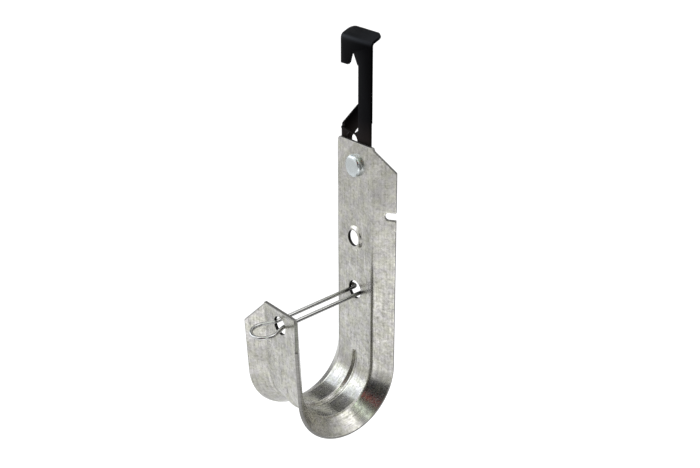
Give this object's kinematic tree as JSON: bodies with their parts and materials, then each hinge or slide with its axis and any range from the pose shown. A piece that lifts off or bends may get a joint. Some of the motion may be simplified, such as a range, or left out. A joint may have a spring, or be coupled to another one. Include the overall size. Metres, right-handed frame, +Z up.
{
  "type": "cable j-hook",
  "caption": "Bent sheet-steel j-hook that carries cables in a round loop, with a spring wire retainer across its mouth and a riveted hanger clip.",
  "frame": {"origin": "centre of the mounting hole, in the plane of the back plate's rear face", "axes": "+X to the right along the loop's axis, +Y back towards the wall, +Z up along the back plate"},
  "size_m": [0.036, 0.0584, 0.154],
  "materials": {
    "galvanised": "zinc-galvanised sheet, mottled, semi-gloss",
    "spring_wire": "bright zinc-plated spring wire",
    "black_clip": "near-black oxide, satin",
    "rivet": "bluish bright zinc plate"
  },
  "bodies": {
    "root": {"hook_body": "galvanised", "retainer_wire": "spring_wire", "hanger_clip": "black_clip", "clip_rivet": "rivet"}
  },
  "joints": []
}
